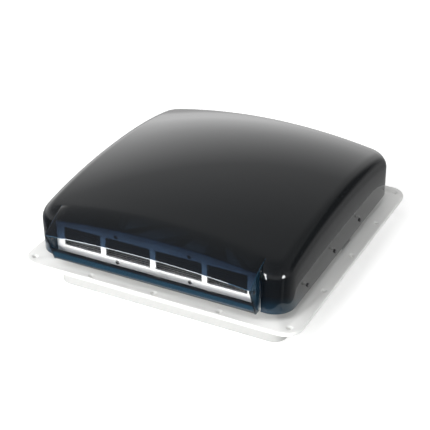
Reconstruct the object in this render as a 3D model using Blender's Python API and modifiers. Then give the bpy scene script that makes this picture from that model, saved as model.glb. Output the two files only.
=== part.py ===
"""A roof ventilator for a 14 inch roof opening: flange, fan, and a smoked lid on four lifting arms.

The flange's centre is the parent empty "roof_fan_centre"; lengths are in metres, +Z up, the mouth faces -Y.
"""
import math

import bmesh
import bpy
from mathutils import Matrix, Vector

# ---------------------------------------------------------------- driving dimensions
CENTRE_Y = 0.00675  # the flange's centre, so that the whole outline is centred on the origin

FLANGE_HALF = 0.2075
FLANGE_CORNER = 0.025
FLANGE_THICK = 0.006
FLANGE_TOP = 0.047
RIM_ROUND = 0.0022
OPENING_HALF = 0.160
COLLAR_HALF = 0.17225
COLLAR_CORNER = 0.018
MOULD_WALL = 0.003
CURB_HALF = 0.166
CURB_CORNER = 0.020
CURB_TOP = 0.0755
HOLE_PITCH = 0.0969
HOLE_EDGE = 0.1993
HOLE_DIAGONAL = 0.1925
HOLE_RADIUS = 0.0023
DIMPLE_RADIUS = 0.0046
DIMPLE_DEPTH = 0.0023
BUSH_BORE = 0.0072
SEAL_WIDTH = 0.0055

DOME_HALF = 0.1877
DOME_FRONT = -0.1930
DOME_BACK = 0.1837
DOME_CORNER = 0.029
DOME_BOTTOM = 0.059
DOME_APEX = 0.1582
DOME_APEX_Y = -0.0106
CROWN_LENGTH = 0.190
CROWN_DROP_X = 0.0208
CROWN_DROP_Y = 0.0159
CROWN_DROP_Y4 = 0.0050
BROW_RADIUS = 0.0185
SHEET = 0.0025
MOUTH_HALF = 0.1514
HOOD_EDGE_Y = -0.2210
HOOD_EDGE_MIDDLE = 0.1145
HOOD_EDGE_DROP = 0.0070
HOOD_BULGE = 0.0025
SILL_BOTTOM_Y = -0.2045
SILL_TOP_Y = -0.2110
SILL_BOTTOM = 0.0620
SILL_TOP = 0.0815
SLIT = 0.0006

GRILLE_Y = -0.1975
GRILLE_THICK = 0.0025
GRILLE_HALF = 0.1485
WINDOW_LOW = 0.0835
WINDOW_HIGH = 0.1120
WINDOWS = [(-0.1362, -0.0793), (-0.0715, -0.0041), (0.0041, 0.0715), (0.0793, 0.1362)]
GRILLE_SCREW_X = 0.0543
GRILLE_SCREW_LOW = 0.0782
GRILLE_SCREW_HIGH = 0.1164
SCREW_BORE = 0.0018
CHEEK_PIN_Y = -0.2095
CHEEK_PIN_Z = 0.0980
SHEET_HOLE = 0.0019

FRAME_HALF = 0.1844
FRAME_FRONT = -0.1897
FRAME_BACK = 0.1804
FRAME_CORNER = 0.026
FRAME_LOW = 0.060
WEB_LOW = 0.0790
WEB_THICK = 0.0025
WEB_OPENING = 0.158
FRAME_WALL = 0.003
POST_X = 0.0754
POST_HALF = 0.0036
POST_FRONT = -0.1935
POST_BACK = -0.1882
POST_LOW = 0.0720
POST_HIGH = 0.1215
BOSS_HALF = 0.0060

ARM_LENGTH = 0.120
ARM_HALF_WIDTH = 0.0065
ARM_THICK = 0.0035
ARM_X = 0.1715
PIVOT_Z = 0.066
FRONT_PIVOT_Y = -0.145
REAR_PIVOT_Y = 0.020
SHAFT_RADIUS = 0.004
PIN_RADIUS = 0.003
GAP = 0.0003

RING_INNER = 0.148
RING_WALL = 0.0025
RING_LOW = 0.030
RING_HIGH = 0.0605
DECK_LOW = FLANGE_TOP + GAP
DECK_THICK = 0.003
DECK_TOP = DECK_LOW + DECK_THICK

HUB_RADIUS = 0.052
BLADE_TIP = 0.145
BLADE_COUNT = 10
BLADE_Z = 0.0490
HUB_TOP = 0.0690
HUB_LOW = 0.0385
HUB_WALL = 0.0025
MOTOR_RADIUS = 0.040
MOTOR_HEIGHT = 0.022
SPIDER_LOW = RING_LOW + 0.001
SPIDER_THICK = 0.005
SPIDER_RADIUS = 0.046
SPIDER_ARM_HALF = 0.005

WHEEL_TEETH = 26
WHEEL_PITCH = 0.013
WORM_PITCH_RADIUS = 0.005
WORM_X = 0.132
WORM_Y = FRONT_PIVOT_Y + WHEEL_PITCH + WORM_PITCH_RADIUS
TOOTH_PITCH = 2 * math.pi * WHEEL_PITCH / WHEEL_TEETH

CONTROL_X = -0.134
CONTROL_Y = -0.134
CONTROL_HALF = 0.0215
CONTROL_WALL = 0.002
BUTTON_STEP = 0.0085
BUTTON_HALF = 0.0045
BUTTON_HOLE_HALF = 0.0048
BUTTON_RIM_HALF = 0.0056
BUTTON_TOP = 0.0318
BOARD_LOW = 0.0336
BOARD_HIGH = 0.0352
GLAND_LOW = 0.038
GLAND_HIGH = 0.062
GLAND_BORE = 0.004
GLAND_RADIUS = 0.0075
GLAND_FLANGE = 0.011
OVERLAP = 0.0002  # how far a joined shape's faces stay off its neighbour's, so that none lie in one plane
PAST = 0.001  # how far a cutter runs past the face that it cuts

# ---------------------------------------------------------------- scene and shared tools
for old in list(bpy.data.objects):
    bpy.data.objects.remove(old)

parts = bpy.data.collections.new("roof_fan")
cutters = bpy.data.collections.new("cutters")
bpy.context.scene.collection.children.link(parts)
bpy.context.scene.collection.children.link(cutters)


def axis_empty(name, at, parent=None):
    empty = bpy.data.objects.new(name, None)
    empty.location = at
    if parent:
        empty.parent = parent
    parts.objects.link(empty)
    return empty


roof_fan = axis_empty("roof_fan_centre", (0, CENTRE_Y, 0))


def material(name, colour, roughness, metallic=0.0, alpha=1.0):
    made = bpy.data.materials.new(name)
    made.use_nodes = True
    shader = made.node_tree.nodes["Principled BSDF"]
    shader.inputs["Base Color"].default_value = (*colour, 1)
    shader.inputs["Roughness"].default_value = roughness
    shader.inputs["Metallic"].default_value = metallic
    shader.inputs["Alpha"].default_value = alpha
    return made


WHITE = material("white_moulding", (0.86, 0.86, 0.84), 0.42)
SMOKE = material("smoked_sheet", (0.03, 0.04, 0.05), 0.08, alpha=0.9)
BLACK = material("black_moulding", (0.03, 0.03, 0.03), 0.5)
RUBBER = material("seal_rubber", (0.02, 0.02, 0.02), 0.8)
STEEL = material("steel", (0.6, 0.6, 0.6), 0.35, 1.0)
ZINC = material("arm_steel", (0.5, 0.5, 0.52), 0.4, 1.0)
BRASS = material("brass", (0.7, 0.5, 0.2), 0.35, 1.0)
MESH = material("insect_mesh", (0.05, 0.05, 0.05), 0.6)
GREEN = material("board", (0.03, 0.2, 0.08), 0.5)
GREY = material("grey_button", (0.35, 0.36, 0.38), 0.5)


def add(name, mesh_or_object, finish, parent=None, smooth=True):
    """Names a piece, gives it its material and hangs it on its axis; its place stays as it is."""
    piece = mesh_or_object
    if isinstance(piece, bpy.types.Mesh):
        piece = bpy.data.objects.new(name, piece)
    for home in list(piece.users_collection):
        home.objects.unlink(piece)
    parts.objects.link(piece)
    piece.name = name
    piece.data.materials.clear()
    piece.data.materials.append(finish)
    if smooth:
        piece.data.shade_smooth()
        piece.data.set_sharp_from_angle(angle=math.radians(35))
    piece.parent = parent or roof_fan
    if parent and parent is not roof_fan:
        piece.location = piece.location - parent.location
    return piece


def cutter(piece):
    for home in list(piece.users_collection):
        home.objects.unlink(piece)
    cutters.objects.link(piece)
    piece.hide_render = True
    piece.display_type = "WIRE"
    return piece


def boolean(piece, tool, operation="DIFFERENCE"):
    """Cuts or joins; the tool hangs on the same parent, so both share one frame."""
    cutter(tool)
    tool.parent = piece.parent
    if piece.parent and piece.parent is not roof_fan:
        tool.location = tool.location - piece.parent.location
    step = piece.modifiers.new(operation.lower(), "BOOLEAN")
    step.operation = operation
    step.object = tool
    return piece


def outline(x0, y0, x1, y1, radius, steps=5):
    """A rectangle with round corners, counterclockwise."""
    points = []
    for cx, cy, start in ((x1 - radius, y0 + radius, -90), (x1 - radius, y1 - radius, 0),
                          (x0 + radius, y1 - radius, 90), (x0 + radius, y0 + radius, 180)):
        for i in range(steps + 1):
            turn = math.radians(start + 90 * i / steps)
            points.append((cx + radius * math.cos(turn), cy + radius * math.sin(turn)))
    return points


def square(half, radius, steps=5):
    return outline(-half, -half, half, half, radius, steps)


def circle(cx, cy, radius, steps=24):
    return [(cx + radius * math.cos(2 * math.pi * i / steps), cy + radius * math.sin(2 * math.pi * i / steps))
            for i in range(steps)]


def stadium(x0, x1, radius, steps=8):
    """A bar along X with round ends at x0 and x1."""
    right = [(x1 + radius * math.sin(math.pi * i / steps), -radius * math.cos(math.pi * i / steps))
             for i in range(steps + 1)]
    return right + [(x0 + x1 - x, -y) for x, y in right]


def flat(name, outlines, thickness):
    """A flat plate, from closed outlines in XY and holes inside them, z from 0 to its thickness."""
    curve = bpy.data.curves.new(name, "CURVE")
    curve.dimensions = "2D"
    curve.fill_mode = "BOTH"
    curve.extrude = thickness / 2
    for points in outlines:
        spline = curve.splines.new("POLY")
        spline.points.add(len(points) - 1)
        for point, (x, y) in zip(spline.points, points):
            point.co = (x, y, 0, 1)
        spline.use_cyclic_u = True
    guide = bpy.data.objects.new(name, curve)
    parts.objects.link(guide)
    bpy.context.view_layer.update()
    mesh = bpy.data.meshes.new_from_object(guide.evaluated_get(bpy.context.evaluated_depsgraph_get()))
    bpy.data.objects.remove(guide)
    bm = bmesh.new()
    bm.from_mesh(mesh)
    bmesh.ops.remove_doubles(bm, verts=bm.verts, dist=1e-6)
    bmesh.ops.translate(bm, verts=bm.verts, vec=(0, 0, thickness / 2))
    bmesh.ops.dissolve_limit(bm, angle_limit=0.01, verts=bm.verts, edges=bm.edges)
    bmesh.ops.triangulate(bm, faces=[face for face in bm.faces if len(face.verts) > 4])
    bmesh.ops.recalc_face_normals(bm, faces=bm.faces)
    bm.to_mesh(mesh)
    bm.free()
    return mesh


def plate(name, outlines, z0, z1):
    piece = bpy.data.objects.new(name, flat(name, outlines, z1 - z0))
    piece.location = (0, 0, z0)
    return piece


def side_plate(name, outlines, x0, x1):
    """A plate whose outline is drawn in Y and Z, standing across X."""
    mesh = flat(name, outlines, x1 - x0)
    mesh.transform(Matrix(((0, 0, 1, x0), (1, 0, 0, 0), (0, 1, 0, 0), (0, 0, 0, 1))))
    return bpy.data.objects.new(name, mesh)


def front_plate(name, outlines, y0, y1):
    """A plate whose outline is drawn in X and Z, standing across Y; y1 is its front."""
    mesh = flat(name, outlines, y1 - y0)
    mesh.transform(Matrix(((1, 0, 0, 0), (0, 0, -1, y1), (0, 1, 0, 0), (0, 0, 0, 1))))
    return bpy.data.objects.new(name, mesh)


def box(low, high):
    mesh = bpy.data.meshes.new("box")
    bm = bmesh.new()
    bmesh.ops.create_cube(bm, size=1)
    size = Vector(high) - Vector(low)
    bmesh.ops.scale(bm, vec=size, verts=bm.verts)
    bm.to_mesh(mesh)
    bm.free()
    piece = bpy.data.objects.new("box", mesh)
    piece.location = (Vector(low) + Vector(high)) / 2
    return piece


def turned(name, profile, at, steps=32, axis="Z"):
    """A profile of (radius, height) pairs, closed on itself or ending on the axis, top to bottom."""
    mesh = bpy.data.meshes.new(name)
    closed = profile[0][0] > 0 and profile[-1][0] > 0
    edges = [(i, i + 1) for i in range(len(profile) - 1)]
    if closed:
        edges.append((len(profile) - 1, 0))
    mesh.from_pydata([(r, 0, z) for r, z in profile], edges, [])
    piece = bpy.data.objects.new(name, mesh)
    spin = piece.modifiers.new("turn", "SCREW")
    spin.axis = "Z"
    spin.angle = 2 * math.pi
    spin.steps = steps
    spin.render_steps = steps
    spin.use_merge_vertices = True
    spin.merge_threshold = 1e-5
    spin.use_smooth_shade = True
    piece.location = at
    if axis == "X":
        piece.rotation_euler = (0, math.pi / 2, 0)
    elif axis == "Y":
        piece.rotation_euler = (math.pi / 2, 0, 0)
    return piece


def rod(name, radius, start, length, axis="Z", steps=20):
    """A plain round bar from start along its axis; along Y it runs towards -Y."""
    return turned(name, [(0, length), (radius, length), (radius, 0), (0, 0)], start, steps, axis)


# ---------------------------------------------------------------- base moulding
def flange_holes():
    places = [(x, y) for x in (-HOLE_DIAGONAL, HOLE_DIAGONAL) for y in (-HOLE_DIAGONAL, HOLE_DIAGONAL)]
    for step in (-1, 0, 1):
        along = step * HOLE_PITCH
        places += [(along, -HOLE_EDGE), (along, HOLE_EDGE), (-HOLE_EDGE, along), (HOLE_EDGE, along)]
    return places


def base_flange():
    rim = plate("base_flange", [square(FLANGE_HALF, FLANGE_CORNER, 6), square(OPENING_HALF, CURB_CORNER)],
                FLANGE_TOP - FLANGE_THICK, FLANGE_TOP)
    rim = add("base_flange", rim, WHITE)
    edge = rim.modifiers.new("rim_round", "BEVEL")
    edge.width = RIM_ROUND
    edge.segments = 2
    edge.limit_method = "ANGLE"
    edge.angle_limit = math.radians(60)
    middle = FLANGE_TOP - FLANGE_THICK / 2
    collar = plate("collar", [square(COLLAR_HALF, COLLAR_CORNER),
                              square(COLLAR_HALF - MOULD_WALL, COLLAR_CORNER - MOULD_WALL)], 0, middle)
    boolean(rim, collar, "UNION")
    curb = plate("curb", [square(CURB_HALF, CURB_CORNER),
                          square(CURB_HALF - MOULD_WALL, CURB_CORNER - MOULD_WALL)], middle, CURB_TOP)
    boolean(rim, curb, "UNION")
    top = FLANGE_THICK + PAST
    dimple = [(0, top), (DIMPLE_RADIUS + PAST, top), (HOLE_RADIUS, FLANGE_THICK - DIMPLE_DEPTH),
              (HOLE_RADIUS, -PAST), (0, -PAST)]
    for x, y in flange_holes():
        boolean(rim, turned("screw_hole", dimple, (x, y, FLANGE_TOP - FLANGE_THICK), 10))
    boolean(rim, rod("shaft_bore", BUSH_BORE, (-FLANGE_HALF, FRONT_PIVOT_Y, PIVOT_Z), 2 * FLANGE_HALF, "X"))
    return rim


def lid_seal():
    half = CURB_HALF + 0.0012
    corner = CURB_CORNER + 0.001
    ring = plate("lid_seal", [square(half, corner), square(half - SEAL_WIDTH, corner - SEAL_WIDTH)],
                 CURB_TOP + GAP, WEB_LOW - GAP)
    return add("lid_seal", ring, RUBBER)


# ---------------------------------------------------------------- fan, deck and motor
def fan_deck():
    play = 0.0005
    deck = plate("fan_deck", [square(CURB_HALF - MOULD_WALL - play, CURB_CORNER - MOULD_WALL - play),
                              circle(0, 0, RING_INNER + RING_WALL / 2, 48),
                              circle(WORM_X, WORM_Y, PIN_RADIUS + GAP, 16),
                              circle(CONTROL_X, -CONTROL_Y, GLAND_RADIUS + GAP, 16)],
                 DECK_LOW, DECK_TOP)
    deck = add("fan_deck", deck, WHITE)
    outer = RING_INNER + RING_WALL
    tube = [(RING_INNER, RING_HIGH), (outer, RING_HIGH), (outer, RING_LOW), (RING_INNER, RING_LOW)]
    return boolean(deck, turned("ring", tube, (0, 0, 0), 48), "UNION")


def motor_spider():
    """A round plate under the motor, and two crossed bars that reach the ring."""
    low, high = SPIDER_LOW, SPIDER_LOW + SPIDER_THICK
    disc = [(0, high), (SPIDER_RADIUS, high), (SPIDER_RADIUS, low), (0, low)]
    spider = add("motor_spider", turned("motor_spider", disc, (0, 0, 0), 48), WHITE)
    reach = RING_INNER - GAP - 0.001
    step = 0.0005
    for turn in (45, 135):
        arm = box((-reach, -SPIDER_ARM_HALF, low + step), (reach, SPIDER_ARM_HALF, high - step))
        arm.rotation_euler = (0, 0, math.radians(turn))
        boolean(spider, arm, "UNION")
    return spider


def motor():
    """The motor's drawn can, with a boss and a blind bore for the shaft, and the cover under the spider."""
    low = SPIDER_LOW + SPIDER_THICK + GAP
    top = low + MOTOR_HEIGHT
    bore, bore_floor = SHAFT_RADIUS + GAP, low + 0.012
    boss, edge = 0.010, 0.003
    can = [(bore, top + edge), (boss, top + edge), (boss, top), (MOTOR_RADIUS - edge, top),
           (MOTOR_RADIUS, top - edge), (MOTOR_RADIUS, low), (0, low), (0, bore_floor), (bore, bore_floor)]
    add("motor_case", turned("motor_case", can, (0, 0, 0), 32), STEEL)
    cover_top, cover_thick, bevel = SPIDER_LOW - GAP, 0.0025, 0.002
    cover = [(0, cover_top), (SPIDER_RADIUS - bevel, cover_top),
             (SPIDER_RADIUS - 2 * bevel, cover_top - bevel), (0, cover_top - cover_thick)]
    add("motor_cover", turned("motor_cover", cover, (0, 0, 0), 32), WHITE)


def blade(index):
    """One blade: a bar along X, thinned and twisted about its length from root to tip."""
    root = HUB_RADIUS - HUB_WALL + 0.001
    root_chord, chord_gain = 0.030, 0.022
    root_pitch, washout = 38, 16
    thick, camber, sweep = 0.0022, 0.0045, 0.010
    mesh = bpy.data.meshes.new("blade")
    bm = bmesh.new()
    bmesh.ops.create_cube(bm, size=1)
    along = [edge for edge in bm.edges if abs(edge.verts[0].co.x - edge.verts[1].co.x) > 0.5]
    bmesh.ops.subdivide_edges(bm, edges=along, cuts=3, use_grid_fill=True)
    across = [edge for edge in bm.edges if abs(edge.verts[0].co.y - edge.verts[1].co.y) > 0.5]
    bmesh.ops.subdivide_edges(bm, edges=across, cuts=2, use_grid_fill=True)
    for vert in bm.verts:
        s = vert.co.x + 0.5
        chord = root_chord + chord_gain * s
        rise = camber * (1 - (2 * vert.co.y) ** 2)
        section = Vector((0, vert.co.y * chord, vert.co.z * thick + rise))
        twist = Matrix.Rotation(math.radians(root_pitch - washout * s), 3, "X")
        vert.co = twist @ section + Vector((root + (BLADE_TIP - root) * s, sweep * s * s, 0))
    bmesh.ops.rotate(bm, verts=bm.verts, cent=(0, 0, 0),
                     matrix=Matrix.Rotation(2 * math.pi * index / BLADE_COUNT, 3, "Z"))
    over = [vert for vert in bm.verts if vert.co.xy.length > BLADE_TIP]
    for vert in over:
        vert.co.xy = vert.co.xy.normalized() * BLADE_TIP
    bmesh.ops.recalc_face_normals(bm, faces=bm.faces)
    bm.to_mesh(mesh)
    bm.free()
    piece = bpy.data.objects.new("blade", mesh)
    piece.location = (0, 0, BLADE_Z)
    return piece


def fan(axis):
    """The hub, a cup that hangs over the motor, with its blades, its shaft and its domed nut."""
    top, bore = HUB_TOP, SHAFT_RADIUS + GAP
    inside, roof, slope = HUB_RADIUS - HUB_WALL, 0.003, 0.006
    cup = [(bore, top), (HUB_RADIUS - slope, top), (HUB_RADIUS, top - 0.005), (HUB_RADIUS, HUB_LOW),
           (inside, HUB_LOW), (inside, top - slope), (HUB_RADIUS - 0.007, top - roof), (bore, top - roof)]
    hub = add("impeller", turned("impeller", cup, (0, 0, 0), 40), WHITE, axis)
    for index in range(BLADE_COUNT):
        boolean(hub, blade(index), "UNION")
    shaft_low, shaft_length = 0.0486, 0.028
    add("motor_shaft", rod("motor_shaft", SHAFT_RADIUS, (0, 0, shaft_low), shaft_length), STEEL, axis)
    thread_depth = 0.0075
    nut = [(0, 0.0105), (0.004, 0.010), (0.007, 0.007), (0.009, 0.0055), (0.009, 0), (bore, 0),
           (bore, thread_depth), (0, thread_depth)]
    add("hub_nut", turned("hub_nut", nut, (0, 0, top + GAP), 12), BLACK, axis)


# ---------------------------------------------------------------- insect screen and its latches
SCREEN_LOW = 0.0245
SCREEN_INNER = 0.146
SCREEN_OUTER = 0.156
SCREEN_GROOVE = 0.1485


def insect_screen():
    """A ring with a groove inside, and the sheet of screen that sits in the groove."""
    high = RING_LOW - GAP
    groove_low, groove_high = SCREEN_LOW + 0.0012, SCREEN_LOW + 0.0028
    rim = [(SCREEN_INNER, high), (SCREEN_OUTER, high), (SCREEN_OUTER, SCREEN_LOW), (SCREEN_INNER, SCREEN_LOW),
           (SCREEN_INNER, groove_low), (SCREEN_GROOVE, groove_low), (SCREEN_GROOVE, groove_high),
           (SCREEN_INNER, groove_high)]
    add("screen_ring", turned("screen_ring", rim, (0, 0, 0), 48), WHITE)
    play, radius = 0.0004, SCREEN_GROOVE - 0.0005
    sheet_low, sheet_high = groove_low + play, groove_high - play
    sheet = [(0, sheet_high), (radius, sheet_high), (radius, sheet_low), (0, sheet_low)]
    add("screen_mesh", turned("screen_mesh", sheet, (0, 0, 0), 48), MESH)


LATCH_RADIUS = 0.1642


def screen_latch(name, turn):
    """A turn button: a rounded tab that reaches inwards under the screen's rim, on a post."""
    x, y = LATCH_RADIUS * math.cos(turn), LATCH_RADIUS * math.sin(turn)
    axis = axis_empty(name + "_axis", (x, y, SCREEN_LOW), roof_fan)
    reach, half_width, thick, overlap = 0.0115, 0.0042, 0.0035, 0.001
    tab_top = SCREEN_LOW - GAP
    tab = plate(name, [stadium(-reach, 0, half_width)], tab_top - thick, tab_top)
    tab.location.x = x
    tab.location.y = y
    tab.rotation_euler = (0, 0, turn)
    tab = add(name, tab, WHITE, axis)
    top = FLANGE_TOP - FLANGE_THICK - GAP
    post = rod("post", PIN_RADIUS, (x, y, tab_top - overlap), top - tab_top + overlap)
    return boolean(tab, post, "UNION")


# ---------------------------------------------------------------- control panel and cable inlet
PANEL_FACE = 0.0248


def square_at(x, y, half, radius, steps=5):
    return outline(x - half, y - half, x + half, y + half, radius, steps)


def control_panel():
    """Four walls and a face with four square holes; the circuit board lies inside."""
    corner = 0.006
    walls = plate("control_housing", [square_at(CONTROL_X, CONTROL_Y, CONTROL_HALF, corner),
                                      square_at(CONTROL_X, CONTROL_Y, CONTROL_HALF - CONTROL_WALL,
                                                corner - CONTROL_WALL)],
                  PANEL_FACE + CONTROL_WALL / 2, DECK_LOW - GAP - FLANGE_THICK)
    housing = add("control_housing", walls, WHITE)
    holes = [square_at(CONTROL_X + dx, CONTROL_Y + dy, BUTTON_HOLE_HALF, 0.0012, 2)
             for dx in (-BUTTON_STEP, BUTTON_STEP) for dy in (-BUTTON_STEP, BUTTON_STEP)]
    edge = square_at(CONTROL_X, CONTROL_Y, CONTROL_HALF - OVERLAP, corner - OVERLAP)
    face = plate("panel_face", [edge] + holes, PANEL_FACE, PANEL_FACE + CONTROL_WALL)
    boolean(housing, face, "UNION")
    board_half = CONTROL_HALF - CONTROL_WALL - 0.0005
    board_edge = square_at(CONTROL_X, CONTROL_Y, board_half, 0.005)
    add("control_board", plate("control_board", [board_edge], BOARD_LOW, BOARD_HIGH), GREEN, smooth=False)


def button(name, dx, dy):
    """A square key through its hole, with a rim behind the panel's face that keeps it in."""
    x, y = CONTROL_X + dx, CONTROL_Y + dy
    proud, corner, rim_thick = 0.002, 0.001, 0.0014
    low = PANEL_FACE - proud
    axis = axis_empty(name + "_axis", (x, y, low), roof_fan)
    cap = add(name, plate(name, [square_at(x, y, BUTTON_HALF, corner, 2)], low, BUTTON_TOP), GREY, axis)
    rim_low = PANEL_FACE + CONTROL_WALL + GAP
    rim = plate("rim", [square_at(x, y, BUTTON_RIM_HALF, corner, 2)], rim_low, rim_low + rim_thick)
    return boolean(cap, rim, "UNION")


def cable_gland():
    """A sleeve through the deck, open at both ends, with a flange that rests on the deck."""
    flange_low, flange_high = DECK_TOP + GAP, DECK_TOP + 0.006
    sleeve = [(GLAND_BORE, GLAND_HIGH), (GLAND_RADIUS - 0.0005, GLAND_HIGH),
              (GLAND_RADIUS, GLAND_HIGH - 0.003), (GLAND_RADIUS, flange_high), (GLAND_FLANGE, flange_high), (GLAND_FLANGE, flange_low),
              (GLAND_RADIUS, flange_low), (GLAND_RADIUS, GLAND_LOW), (GLAND_BORE, GLAND_LOW)]
    return add("cable_gland", turned("cable_gland", sleeve, (CONTROL_X, -CONTROL_Y, 0), 24), BLACK)


# ---------------------------------------------------------------- smoked lid
def crown(x, y):
    across = (x / DOME_HALF) ** 2
    along = ((y - DOME_APEX_Y) / CROWN_LENGTH) ** 2
    return DOME_APEX - CROWN_DROP_X * across - CROWN_DROP_Y * along - CROWN_DROP_Y4 * along ** 2


def hood(x, s):
    """A point of the hood: s runs from 0 at the crown to 1 at the front edge."""
    start = DOME_FRONT + BROW_RADIUS
    edge = HOOD_EDGE_MIDDLE - HOOD_EDGE_DROP * (x / MOUTH_HALF) ** 2
    height = (1 - s) * crown(x, start) + s * edge + 4 * s * (1 - s) * HOOD_BULGE
    return Vector((x, start + (HOOD_EDGE_Y - start) * s, height))


def hood_share(y):
    """How far along the hood a place is, 0 at the crown and 1 at the front edge."""
    start = DOME_FRONT + BROW_RADIUS
    return (y - start) / (HOOD_EDGE_Y - start)


def grid_lines(low, high, brow_steps, inner):
    """Lines across the dome: close together over each round brow and corner, and wide apart between."""
    turns = [math.pi / 2 * i / brow_steps for i in range(brow_steps + 1)]
    brow = [BROW_RADIUS * (1 - math.cos(turn)) for turn in turns]
    corner = [BROW_RADIUS, (BROW_RADIUS + DOME_CORNER) / 2, DOME_CORNER]
    middle = sorted(inner + [low + inset for inset in corner] + [high - inset for inset in corner])
    return [low + t for t in brow[:-1]] + middle + [high - t for t in reversed(brow[:-1])]


def round_corner(x, y):
    """Moves a point of the straight-sided plan into the round corner, keeping its distance to the edge."""
    middle = (DOME_FRONT + DOME_BACK) / 2
    half_y = (DOME_BACK - DOME_FRONT) / 2
    dx = abs(x) - (DOME_HALF - DOME_CORNER)
    dy = abs(y - middle) - (half_y - DOME_CORNER)
    if dx <= 0 or dy <= 0:
        return x, y
    scale = max(dx, dy) / math.hypot(dx, dy)
    return (math.copysign(DOME_HALF - DOME_CORNER + dx * scale, x),
            middle + math.copysign(half_y - DOME_CORNER + dy * scale, y - middle))


def brow_drop(inset):
    if inset >= BROW_RADIUS:
        return 0
    return BROW_RADIUS - math.sqrt(max(0, BROW_RADIUS ** 2 - (BROW_RADIUS - inset) ** 2))


def dome_surface(brow_steps, xs, ys):
    """The lid's outer skin: crown, brows, hood, and the walls down to the rim, open at the mouth."""
    bm = bmesh.new()
    bmesh.ops.create_grid(bm, x_segments=len(xs) - 1, y_segments=len(ys) - 1, size=1)
    column = {vert: round((vert.co.x + 1) / 2 * (len(xs) - 1)) for vert in bm.verts}
    row = {vert: round((vert.co.y + 1) / 2 * (len(ys) - 1)) for vert in bm.verts}
    left, right = (min(range(len(xs)), key=lambda i: abs(xs[i] - side))
                   for side in (-MOUTH_HALF, MOUTH_HALF))
    slit = [edge for edge in bm.edges if all(row[v] <= brow_steps for v in edge.verts)
            and column[edge.verts[0]] == column[edge.verts[1]] and column[edge.verts[0]] in (left, right)]
    place = {(round(v.co.x, 5), round(v.co.y, 5)): (column[v], row[v]) for v in bm.verts}
    bmesh.ops.split_edges(bm, edges=slit)
    spot = {vert: place[(round(vert.co.x, 5), round(vert.co.y, 5))] for vert in bm.verts}
    hood_verts = {vert for face in bm.faces for vert in face.verts
                  if all(spot[v][1] <= brow_steps and left <= spot[v][0] <= right for v in face.verts)}
    hood_front = []
    for vert, (i, j) in spot.items():
        x, y = xs[i], ys[j]
        if vert in hood_verts and j < brow_steps:
            s = 1 - j / brow_steps
            side = x - math.copysign(SLIT * s, x) if i in (left, right) else x
            vert.co = hood(side, s)
            if j == 0:
                hood_front.append(vert)
            continue
        if j < brow_steps and i in (left, right):
            x += math.copysign(SLIT * (1 - j / brow_steps), x)
        px, py = round_corner(x, y)
        inset = min(DOME_HALF - abs(x), y - DOME_FRONT, DOME_BACK - y)
        vert.co = (px, py, crown(px, py) - brow_drop(inset))
    last_column, last_row = len(xs) - 1, len(ys) - 1
    on_rim = {vert for vert, (i, j) in spot.items() if i in (0, last_column) or j in (0, last_row)}
    edge_loop = [edge for edge in bm.edges if edge.is_boundary and on_rim.issuperset(edge.verts)
                 and not hood_verts.issuperset(edge.verts)]
    wall = bmesh.ops.extrude_edge_only(bm, edges=edge_loop)["geom"]
    for vert in (item for item in wall if isinstance(item, bmesh.types.BMVert)):
        vert.co.z = DOME_BOTTOM
    bmesh.ops.recalc_face_normals(bm, faces=bm.faces)
    top = max(bm.faces, key=lambda face: face.calc_center_median().z)
    if top.normal.z < 0:
        bmesh.ops.reverse_faces(bm, faces=bm.faces)
    mesh = bpy.data.meshes.new("lid_dome")
    bm.to_mesh(mesh)
    bm.free()
    return mesh


DOME_SCREWS_Y = [-0.125, -0.034, 0.058]
DOME_SCREW_Z = 0.0690


def lid_dome(axis):
    inner = [MOUTH_HALF * i / 4 for i in range(-4, 5)]
    rows = [-0.130, -0.080, -0.030, 0.020, 0.070, 0.120]
    brow_steps = 4
    mesh = dome_surface(brow_steps, grid_lines(-DOME_HALF, DOME_HALF, brow_steps, inner),
                        grid_lines(DOME_FRONT, DOME_BACK, brow_steps, rows))
    dome = add("lid_dome", mesh, SMOKE, axis)
    dome.location = -axis.location
    wall = dome.modifiers.new("wall", "SOLIDIFY")
    wall.thickness = SHEET
    wall.offset = -1
    wall.use_even_offset = True
    reach = 0.006
    for side in (-1, 1):
        start = side * (DOME_HALF - SHEET / 2) - reach
        for y in DOME_SCREWS_Y:
            boolean(dome, rod("screw_hole", SHEET_HOLE, (start, y, DOME_SCREW_Z), 2 * reach, "X", 10))
    return dome


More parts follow.
